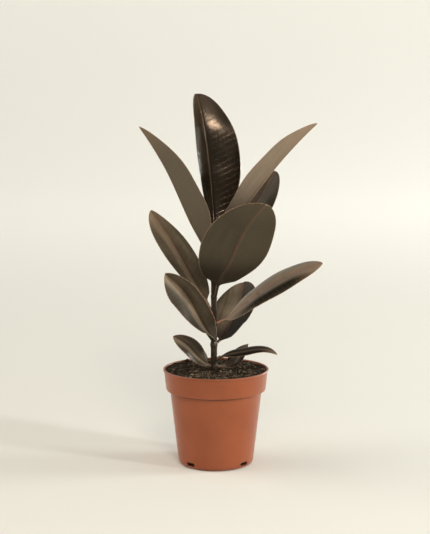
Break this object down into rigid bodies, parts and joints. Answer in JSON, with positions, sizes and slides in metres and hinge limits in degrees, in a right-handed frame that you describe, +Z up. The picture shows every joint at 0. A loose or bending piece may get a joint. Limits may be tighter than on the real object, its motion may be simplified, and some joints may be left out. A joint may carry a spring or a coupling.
{
  "type": "potted rubber plant",
  "caption": "Young rubber plant with broad dark burgundy leaves on one upright stem, growing in soil in a tapered terracotta-coloured plastic nursery pot.",
  "frame": {"origin": "centre of the pot's underside, on the surface that the pot stands on", "axes": "+Z up along the pot's axis, the plant's front faces -Y, +X to the right seen from the front"},
  "size_m": [0.2038, 0.1672, 0.4191],
  "materials": {
    "pot_plastic": "satin",
    "potting_soil": "matte",
    "young_bark": "satin",
    "bud_skin": "satin",
    "leaf": "gloss"
  },
  "bodies": {
    "root": {"pot": "pot_plastic", "soil": "potting_soil", "stem": "young_bark", "bud_sheath": "bud_skin", "leaf_01": "leaf", "leaf_02": "leaf", "leaf_03": "leaf", "leaf_04": "leaf", "leaf_05": "leaf", "leaf_06": "leaf", "leaf_07": "leaf", "leaf_08": "leaf", "leaf_09": "leaf", "leaf_10": "leaf", "leaf_11": "leaf", "leaf_12": "leaf"}
  },
  "joints": []
}
